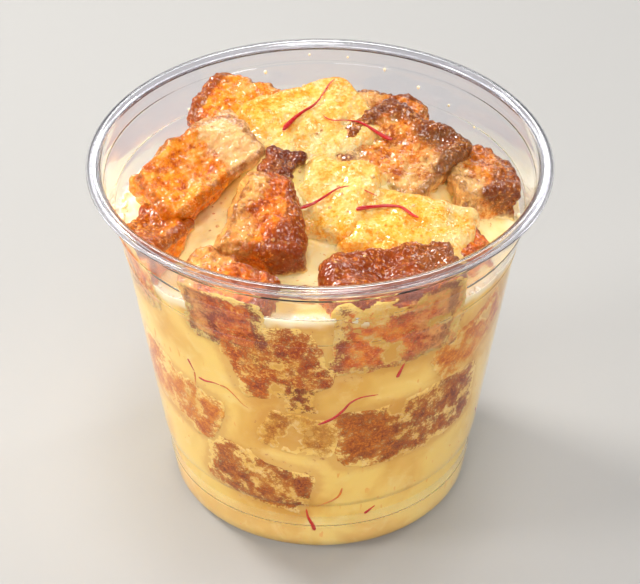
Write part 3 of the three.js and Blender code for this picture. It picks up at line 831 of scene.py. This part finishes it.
tris = np.concatenate([np.stack([np.full(SEG, lo), nxt[0], idx[0]], 1), np.stack([np.full(SEG, hi), idx[-1], nxt[-1]], 1)])
cup = build("cup_clear_sheet", V, quads=quads, tris=tris)
cup.data.materials.append(cup_material())
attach(cup, "root")
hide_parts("cup")


# ------------------------------------------------------------------ saffron threads
def spline(pts, n):
    """Points evenly along a Catmull-Rom curve through the given ones."""
    p = np.asarray(pts, float)
    p = np.concatenate([[2 * p[0] - p[1]], p, [2 * p[-1] - p[-2]]])
    out = []
    for i in range(1, len(p) - 2):
        t = np.linspace(0, 1, 12, endpoint=i == len(p) - 3)[:, None]
        a, b, c, d = p[i - 1], p[i], p[i + 1], p[i + 2]
        out.append(0.5 * (2 * b + (c - a) * t + (2 * a - 5 * b + 4 * c - d) * t ** 2 + (3 * b - a - 3 * c + d) * t ** 3))
    out = np.concatenate(out)
    s = np.concatenate([[0], np.cumsum(np.linalg.norm(np.diff(out, axis=0), axis=1))])
    t = np.linspace(0, s[-1], n)
    return np.stack([np.interp(t, s, out[:, k]) for k in range(out.shape[1])], 1)


def tube(path3, radius, sides=10, flatten=0.75):
    """A closed tapering tube along a path. Returns points, quads, end triangles and how far along each point is."""
    t = np.gradient(path3, axis=0)
    t /= np.linalg.norm(t, axis=1)[:, None]
    up = np.array([0, 0, 1.0]) if abs(t[:, 2]).mean() < 0.8 else np.array([1.0, 0, 0])
    a = np.cross(t, up)
    a /= np.linalg.norm(a, axis=1)[:, None]
    b = np.cross(a, t)
    th = np.arange(sides) / sides * 2 * np.pi
    v = (path3[:, None] + radius[:, None, None] * (np.cos(th)[None, :, None] * a[:, None] + flatten * np.sin(th)[None, :, None] * b[:, None])).reshape(-1, 3)
    idx = np.arange(len(path3) * sides).reshape(-1, sides)
    nxt = np.roll(idx, -1, 1)
    q = np.stack([idx[:-1], idx[1:], nxt[1:], nxt[:-1]], -1).reshape(-1, 4)
    v = np.concatenate([v, path3[:1], path3[-1:]])
    n = len(v)
    tr = np.concatenate([np.stack([np.full(sides, n - 2), idx[0], nxt[0]], 1), np.stack([np.full(sides, n - 1), nxt[-1], idx[-1]], 1)])
    along = np.concatenate([np.repeat(np.linspace(0, 1, len(path3)), sides), [0, 1]])
    return v, q, tr, along


def join(parts):
    V, Q, T, A, n = [], [], [], [], 0
    for v, q, tr, al in parts:
        V.append(v); Q.append(q + n); T.append(tr + n); A.append(al)
        n += len(v)
    return np.concatenate(V), np.concatenate(Q), np.concatenate(T), np.concatenate(A)


# plan positions of the four long threads on the heap, thick end first
TOP_THREADS = [
    ([(-7.3, 8.9), (-6.6, 10.4), (-5.2, 12.4), (-3.4, 14.3), (-1.5, 16.0), (-0.2, 18.1), (1.0, 21.0), (1.9, 23.4), (2.9, 25.2)], 0.52, 0.0),
    ([(14.4, 7.5), (12.6, 8.5), (10.8, 9.8), (8.8, 11.2), (7.2, 12.0), (5.0, 12.4), (2.8, 12.3), (1.6, 12.8), (0.7, 13.9)], 0.50, 0.0),
    ([(-3.8, -15.2), (-2.3, -13.4), (-0.3, -11.1), (1.6, -9.4), (3.3, -8.2), (4.9, -7.8), (6.3, -8.0), (7.8, -8.6), (9.3, -9.5), (11.0, -10.7)], 0.42, 0.0),
    ([(7.0, -14.1), (8.3, -13.4), (10.4, -12.7), (12.4, -12.3), (14.5, -12.3), (15.8, -12.7), (16.9, -13.8), (17.9, -14.9), (18.9, -15.6)], 0.50, 0.35),
]
peak_grid = shifts(surface_grid, np.maximum, 1)
parts = []
for pts, rad, keep in TOP_THREADS:
    xy = spline(pts, 90)
    z = np.maximum(on_grid(surface_grid, xy[:, 0], xy[:, 1]), on_grid(peak_grid, xy[:, 0], xy[:, 1]) - 0.35)
    for _ in range(60):
        sm = np.convolve(np.pad(z, 4, mode="edge"), np.ones(9) / 9, "valid")
        z = 0.5 * z + 0.5 * np.maximum(sm, z - 0.04)
    t = np.linspace(0, 1, 90)
    z = np.convolve(np.pad(z, 5, mode="edge"), np.ones(11) / 11, "valid") + rad * 0.75
    width = rad * (1 - (0.72 - keep) * smooth(0.0, 0.75, t)) * (1 + 0.08 * np.sin(17 * t)) * np.minimum(1, 0.55 + 8 * np.minimum(t, 1 - t))
    parts.append(tube(np.column_stack([xy, z]), width, 12, 0.7))
v, q, tr, al = join(parts)
threads = build("saffron_threads_top", v, quads=q, tris=tr, attrs=dict(along=al))
threads.data.materials.append(saffron_material("saffron_red", srgb(190, 12, 14), srgb(216, 40, 18)))
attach(threads, "root")

# threads pressed between the custard and the wall: bearing and height
WALL_THREADS = [
    ([(-43, 47.6), (-42, 46.2), (-41, 44.9)], 0.30),
    ([(-39.6, 43.8), (-37, 43.8), (-34, 44.3), (-31.5, 44.4)], 0.30),
    ([(-0.6, 38.2), (1.8, 39.0), (4.4, 40.1), (7, 42.0), (9.2, 44.0), (12.5, 45.1), (17.5, 45.1)], 0.36),
    ([(23, 48.7), (24, 50.6), (25, 52.3)], 0.42),
    ([(-2, 6.0), (-2.6, 7.4), (-4.3, 9.8), (-5, 12.2)], 0.42),
    ([(16.5, 9.8), (18.5, 10.7), (20.5, 11.5)], 0.36),
    ([(96, 43), (100, 42), (104, 43.5), (109, 43.2)], 0.34),
    ([(128, 38), (132, 36.2), (137, 36.4), (143, 34.8)], 0.36),
    ([(176, 33), (179, 36), (183, 37)], 0.34),
    ([(214, 39), (218, 38), (223, 39.4), (229, 38.8)], 0.36),
    ([(268, 46), (271, 44), (275, 43.6)], 0.34),
    ([(70, 22), (73, 20), (74, 17.5)], 0.36),
]
ORANGE_THREADS = [
    ([(-31.5, 44.4), (-29, 44.2), (-26.5, 42.8), (-24.2, 41.1), (-21.8, 40.2)], 0.24),
    ([(-41, 44.8), (-41.2, 43.0), (-41.6, 40.6)], 0.26),
    ([(7.6, 19.2), (6.6, 17), (4.2, 15.6), (1, 14.6), (-3, 13.2)], 0.26),
    ([(104, 58), (108, 56), (110, 53)], 0.24),
    ([(188, 15), (192, 16), (197, 14.4)], 0.26),
    ([(262, 17), (266, 15.4), (271, 15.6)], 0.24),
]


def wall_threads(name, rows, mat):
    made = []
    for pts, rad in rows:
        bz = spline(pts, 44)
        a = np.radians(bz[:, 0])
        r = wall_in(bz[:, 1]) + 0.02
        path3 = np.stack([r * np.sin(a), -r * np.cos(a), bz[:, 1]], 1)
        t = np.linspace(0, 1, 44)
        width = rad * (1 - 0.45 * smooth(0.1, 0.9, t)) * np.minimum(1, 0.5 + 6 * np.minimum(t, 1 - t))
        v, q, tr, al = tube(path3, width, 10, 1.0)
        rr = np.hypot(v[:, 0], v[:, 1])
        lim = wall_in(v[:, 2]) + 0.30
        f = np.minimum(1, lim / rr)
        v[:, 0] *= f
        v[:, 1] *= f
        made.append((v, q, tr, al))
    v, q, tr, al = join(made)
    ob = build(name, v, quads=q, tris=tr, attrs=dict(along=al))
    ob.data.materials.append(mat)
    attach(ob, "root")


wall_threads("saffron_threads_wall", WALL_THREADS, saffron_material("saffron_red_wall", srgb(206, 18, 4), srgb(224, 74, 14)))
wall_threads("saffron_wisps_wall", ORANGE_THREADS, saffron_material("saffron_orange", srgb(232, 128, 20), srgb(240, 168, 50)))


# ------------------------------------------------------------------ froth along the wall, loose crumbs
def balls(name, rows, mat, sides=8, rings=6, lump=0.0, seed=0):
    th = np.linspace(0, np.pi, rings + 1)[1:-1]
    ph = np.arange(sides) / sides * 2 * np.pi
    unit = np.stack([np.outer(np.sin(th), np.cos(ph)), np.outer(np.sin(th), np.sin(ph)), np.repeat(np.cos(th)[:, None], sides, 1)], -1).reshape(-1, 3)
    unit = np.concatenate([unit, [[0, 0, 1]], [[0, 0, -1]]])
    idx = np.arange((rings - 1) * sides).reshape(rings - 1, sides)
    nxt = np.roll(idx, -1, 1)
    q = np.stack([idx[:-1], idx[1:], nxt[1:], nxt[:-1]], -1).reshape(-1, 4)
    n = (rings - 1) * sides
    tr = np.concatenate([np.stack([np.full(sides, n), idx[0], nxt[0]], 1), np.stack([np.full(sides, n + 1), nxt[-1], idx[-1]], 1)])
    V, Q, T = [], [], []
    for k, (x, y, z, r, squash) in enumerate(rows):
        v = unit * (r, r, r * squash)
        if lump:
            v = v * (1 + lump * fbm(unit * 2 + k * 3.7, 1.3, 3, seed))[:, None]
        V.append(v + (x, y, z)); Q.append(q + k * len(unit)); T.append(tr + k * len(unit))
    ob = build(name, np.concatenate(V), quads=np.concatenate(Q), tris=np.concatenate(T))
    ob.data.materials.append(mat)
    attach(ob, "root")
    return ob


rng = np.random.default_rng(7)
rows = []
for i in range(480):
    a = rng.uniform(0, 2 * np.pi)
    z0 = float(np.interp(a, ang, contact))
    clump = float(perlin(np.array([[math.sin(a) * 38, -math.cos(a) * 38, 0.0]]), 6, 610)[0])
    r = rng.uniform(0.14, 0.42) * (1.0 + 0.9 * max(clump, -0.4))
    z = z0 - rng.exponential(0.45) + 0.12
    rad = float(wall_in(z)) - r * 0.72 - rng.exponential(0.25)
    rows.append((math.sin(a) * rad, -math.cos(a) * rad, z, r, 0.8))
# a few splashes left on the wall above the custard
for b, z in ((172, 74.2), (183, 74.6), (161, 72.5), (150, 70.4), (196, 71.6), (210, 69.6), (139, 69.0), (222, 68.4), (128, 67.4)):
    a = math.radians(b)
    rad = float(wall_in(z)) - 0.1
    rows.append((math.sin(a) * rad, -math.cos(a) * rad, z, rng.uniform(0.22, 0.42), 1.1))
froth = balls("custard_froth_at_wall", rows, froth_material(), 7, 5)

crumb_rows = [(-8.8, 26.5, 72.6, 2.5, 0.9), (-5.6, 28.2, 71.4, 1.9, 0.9), (-11.5, 27.6, 70.2, 1.7, 0.8), (4.6, 27.2, 73.0, 1.6, 0.8),
              (8.2, 24.2, 73.4, 1.9, 0.8), (20.5, 20.0, 70.6, 1.4, 0.9), (17.6, 22.4, 71.2, 1.2, 0.9)]
for k in range(26):
    a, r = rng.uniform(0, 2 * np.pi), rng.uniform(4, 33)
    x, y = r * math.sin(a), -r * math.cos(a)
    z = float(on_grid(surface_grid, np.array([x]), np.array([y]))[0])
    crumb_rows.append((x, y, z - 0.1, rng.uniform(0.22, 0.5), 0.8))
km = Nodes("loose_crumbs")
nz = km.noise(1.4, 3, 0.6)
cb = km.mix(km.remap(nz, 0.38, 0.62), srgb(196, 120, 56), srgb(246, 204, 138))
pb = km.principled(Base_Color=cb, Roughness=km.remap(nz, 0.4, 0.6, 0.3, 0.5), Normal=km.bump(km.noise(0.5, 3, 0.6), 0.5, 0.25))
pb.inputs["Coat Weight"].default_value = 0.3
pb.inputs["Coat Roughness"].default_value = 0.2
km.t.links.new(pb.outputs[0], km.out.inputs[0])
crumbs = balls("loose_crumbs", crumb_rows, km.mat, 16, 12, lump=0.42, seed=88)

# ------------------------------------------------------------------ stage, light, camera
floor = build("floor", [(-1500, -1500, 0), (1500, -1500, 0), (1500, 1500, 0), (-1500, 1500, 0)], quads=[[0, 1, 2, 3]])
fm = Nodes("pale_floor")
fp = fm.principled(Base_Color=(0.45, 0.445, 0.435, 1), Roughness=0.6)
fm.t.links.new(fp.outputs[0], fm.out.inputs[0])
floor.data.materials.append(fm.mat)


def area(name, at, target, size, power, color=(1, 1, 1)):
    d = bpy.data.lights.new(name, "AREA")
    d.shape = "RECTANGLE"
    d.size, d.size_y = size
    d.energy = power
    d.color = color
    o = bpy.data.objects.new(name, d)
    o.location = at
    v = np.array(target) - np.array(at)
    from mathutils import Vector
    o.rotation_euler = Vector(v).to_track_quat("-Z", "Y").to_euler()
    scene.collection.objects.link(o)
    return o


area("key", (-0.44, 0.34, 0.52), (0, 0, 0.05), (0.17, 0.17), 3.9, (1.0, 0.97, 0.92))
area("back", (0.12, 0.72, 0.52), (0, 0, 0.06), (0.58, 0.14), 1.7, (1.0, 0.99, 0.97))
area("left", (-0.66, -0.16, 0.42), (0, 0, 0.05), (0.20, 0.20), 2.30, (1.0, 0.97, 0.93))
area("top", (0.05, -0.05, 0.85), (0, 0, 0.05), (0.25, 0.25), 2.45, (1.0, 0.98, 0.95))
area("front_top", (0.05, -0.50, 0.72), (0, 0, 0.05), (0.30, 0.20), 1.5, (1.0, 0.98, 0.95))
area("front_left", (-0.35, -0.80, 0.34), (0, 0, 0.04), (0.45, 0.30), 1.44, (1.0, 0.97, 0.93))
area("front_right", (0.62, -0.58, 0.28), (0, 0, 0.04), (0.35, 0.30), 1.87, (1.0, 0.97, 0.93))
area("back_right", (0.50, 0.35, 0.42), (0, 0, 0.05), (0.10, 0.22), 0.86, (0.96, 0.98, 1.0))

world = bpy.data.worlds.new("studio")
scene.world = world
world.use_nodes = True
world.node_tree.nodes["Background"].inputs[0].default_value = (0.9, 0.93, 1.0, 1)
world.node_tree.nodes["Background"].inputs[1].default_value = 0.14
scene.view_settings.view_transform = "Standard"
scene.view_settings.look = "None"

DIST, ELEV, TARGET = 0.450, math.radians(36.5), 0.04326
cam = bpy.data.cameras.new("camera")
cam.sensor_fit = "HORIZONTAL"
cam.sensor_width = 36.0
cam.lens = 2187.3 / 640 * 36.0
cam.clip_start, cam.clip_end = 0.02, 20
camo = bpy.data.objects.new("camera", cam)
camo.location = (0, -DIST * math.cos(ELEV), TARGET + DIST * math.sin(ELEV))
camo.rotation_euler = (math.pi / 2 - ELEV, 0, 0)
scene.collection.objects.link(camo)
scene.camera = camo
